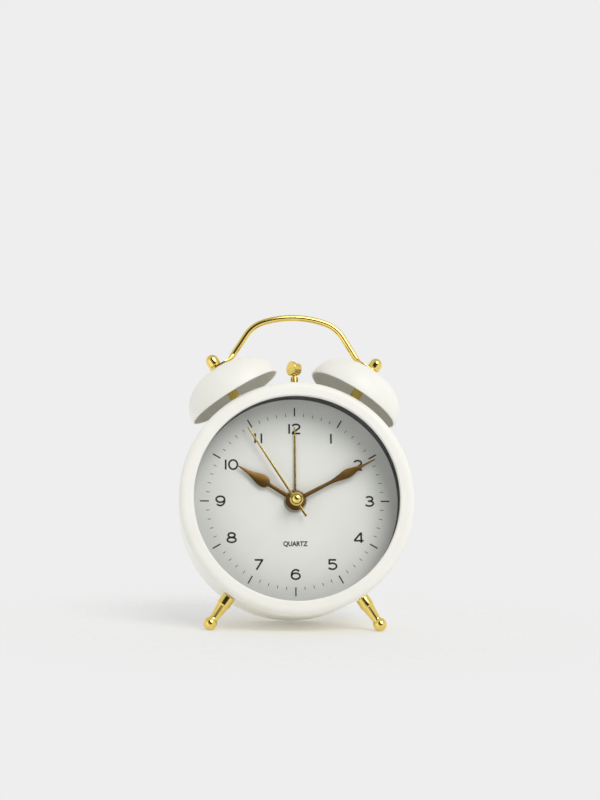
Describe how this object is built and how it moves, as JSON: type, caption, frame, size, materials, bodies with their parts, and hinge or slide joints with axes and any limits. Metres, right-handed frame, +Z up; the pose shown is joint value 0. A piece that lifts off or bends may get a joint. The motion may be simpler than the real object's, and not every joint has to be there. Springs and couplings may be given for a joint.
{
  "type": "twin bell alarm clock",
  "caption": "Round twin-bell quartz alarm clock with a domed bell each side of a striking hammer, a wire carrying handle and slim tapered legs.",
  "frame": {"origin": "on the surface the clock stands on, under the middle of its bounding box", "axes": "+Z up, +X to the right as seen from the front, +Y towards the back; the dial faces -Y and leans back by 9.9 degrees"},
  "size_m": [0.0882, 0.0542, 0.1205],
  "materials": {
    "white_paint": "smooth matt white paint",
    "gold_brass": "polished",
    "clear_lens": "clear",
    "black_plastic": "satin",
    "grey_rubber": "matt",
    "dial_print": "matt, printed in black",
    "white_plastic": "fine texture",
    "gear_plastic": "satin",
    "plain_steel": "satin",
    "copper_wire": "enamelled winding",
    "board_green": "solder mask",
    "battery_wrap": "printed wrap"
  },
  "bodies": {
    "clock": {"case_body": "white_paint", "bell_left": "white_paint", "bell_right": "white_paint", "bell_post_left": "gold_brass", "bell_post_right": "gold_brass", "bell_cap_nut_left": "gold_brass", "bell_cap_nut_right": "gold_brass", "handle": "gold_brass", "leg_left": "gold_brass", "leg_right": "gold_brass", "lens": "clear_lens", "inner_ring": "black_plastic", "lens_gasket": "grey_rubber", "dial": "dial_print", "back_cover": "white_plastic", "movement_front_plate": "white_plastic", "movement_rear_case": "white_plastic", "bell_inner_nut_left": "plain_steel", "bell_inner_nut_right": "plain_steel", "leg_nut_left": "plain_steel", "leg_nut_right": "plain_steel", "hammer_pivot_pin": "plain_steel", "hammer_spring": "plain_steel", "hammer_yoke": "plain_steel", "striker_core": "plain_steel", "stator": "plain_steel", "quartz_crystal": "plain_steel", "battery_contact_plus": "plain_steel", "battery_contact_minus": "plain_steel", "cover_screw_left": "plain_steel", "cover_screw_right": "plain_steel", "drive_coil": "copper_wire", "striker_coil": "copper_wire", "circuit_board": "board_green", "battery": "battery_wrap"},
    "second_hand": {"second_hand": "gold_brass", "hand_cap": "gold_brass", "second_wheel": "gear_plastic"},
    "rotor": {"rotor": "plain_steel"},
    "intermediate_wheel": {"intermediate_wheel": "gear_plastic"},
    "third_wheel": {"third_wheel": "gear_plastic"},
    "centre_wheel": {"centre_wheel": "gear_plastic"},
    "minute_hand": {"minute_hand": "gold_brass", "cannon_pinion": "plain_steel"},
    "minute_wheel": {"minute_wheel": "gear_plastic"},
    "hour_hand": {"hour_hand": "gold_brass", "hour_wheel": "gear_plastic"},
    "time_knob": {"time_knob": "white_plastic", "time_setting_arbor": "gear_plastic"},
    "alarm_hand": {"alarm_hand": "gold_brass", "alarm_wheel": "gear_plastic"},
    "alarm_knob": {"alarm_knob": "white_plastic", "alarm_setting_arbor": "gear_plastic"},
    "hammer": {"hammer_head": "gold_brass", "hammer_stem": "gold_brass", "hammer_arm": "plain_steel", "armature": "plain_steel"},
    "alarm_switch": {"alarm_switch": "white_plastic"},
    "battery_door": {"battery_door": "white_plastic"}
  },
  "joints": [
    {"name": "second_hand_turn", "type": "hinge", "parent": "clock", "child": "second_hand", "pos_m": [0, -0.02017, 0.05011], "axis": [0, 0.9851, -0.172], "continuous": true},
    {"name": "rotor_turn", "type": "hinge", "parent": "clock", "child": "rotor", "pos_m": [-0.00486, -0.01824, 0.06114], "axis": [0, 0.9851, -0.172], "continuous": true},
    {"name": "intermediate_wheel_turn", "type": "hinge", "parent": "clock", "child": "intermediate_wheel", "pos_m": [-0.00486, -0.01917, 0.05582], "axis": [0, 0.9851, -0.172], "continuous": true},
    {"name": "third_wheel_turn", "type": "hinge", "parent": "clock", "child": "third_wheel", "pos_m": [0.00405, -0.01896, 0.05702], "axis": [0, 0.9851, -0.172], "continuous": true},
    {"name": "centre_wheel_turn", "type": "hinge", "parent": "clock", "child": "centre_wheel", "pos_m": [0, -0.02017, 0.05011], "axis": [0, 0.9851, -0.172], "continuous": true},
    {"name": "minute_hand_turn", "type": "hinge", "parent": "clock", "child": "minute_hand", "pos_m": [0, -0.02017, 0.05011], "axis": [0, 0.9851, -0.172], "continuous": true},
    {"name": "minute_wheel_turn", "type": "hinge", "parent": "clock", "child": "minute_wheel", "pos_m": [0.0064, -0.02017, 0.05011], "axis": [0, 0.9851, -0.172], "continuous": true},
    {"name": "hour_hand_turn", "type": "hinge", "parent": "clock", "child": "hour_hand", "pos_m": [0, -0.02017, 0.05011], "axis": [0, 0.9851, -0.172], "continuous": true},
    {"name": "time_knob_turn", "type": "hinge", "parent": "clock", "child": "time_knob", "pos_m": [0.0123, -0.01946, 0.05418], "axis": [0, 0.9851, -0.172], "continuous": true},
    {"name": "alarm_hand_turn", "type": "hinge", "parent": "clock", "child": "alarm_hand", "pos_m": [0, -0.02017, 0.05011], "axis": [0, 0.9851, -0.172], "continuous": true},
    {"name": "alarm_knob_turn", "type": "hinge", "parent": "clock", "child": "alarm_knob", "pos_m": [-0.00985, -0.01987, 0.05182], "axis": [0, 0.9851, -0.172], "continuous": true},
    {"name": "hammer_swing", "type": "hinge", "parent": "clock", "child": "hammer", "pos_m": [0, 0.00339, 0.07747], "axis": [0, 0.9851, -0.172], "range_deg": [-10.8, 11.4], "stiffness_Nm_per_rad": 0.006},
    {"name": "alarm_switch_slide", "type": "slide", "parent": "clock", "child": "alarm_switch", "axis": [1, 0, 0], "range_m": [0, 0.004]},
    {"name": "battery_door_hinge", "type": "hinge", "parent": "clock", "child": "battery_door", "pos_m": [0, 0.01161, 0.01523], "axis": [-1, 0, 0], "range_deg": [0, 75]}
  ],
  "couplings": [
    {"joint": "rotor_turn", "follows": "second_hand_turn", "ratio": 30},
    {"joint": "intermediate_wheel_turn", "follows": "second_hand_turn", "ratio": -6},
    {"joint": "third_wheel_turn", "follows": "second_hand_turn", "ratio": -0.13333},
    {"joint": "centre_wheel_turn", "follows": "second_hand_turn", "ratio": 0.016667},
    {"joint": "minute_wheel_turn", "follows": "minute_hand_turn", "ratio": -0.33333},
    {"joint": "hour_hand_turn", "follows": "minute_hand_turn", "ratio": 0.083333},
    {"joint": "time_knob_turn", "follows": "minute_hand_turn", "ratio": 0.66667},
    {"joint": "alarm_knob_turn", "follows": "alarm_hand_turn", "ratio": -3}
  ]
}
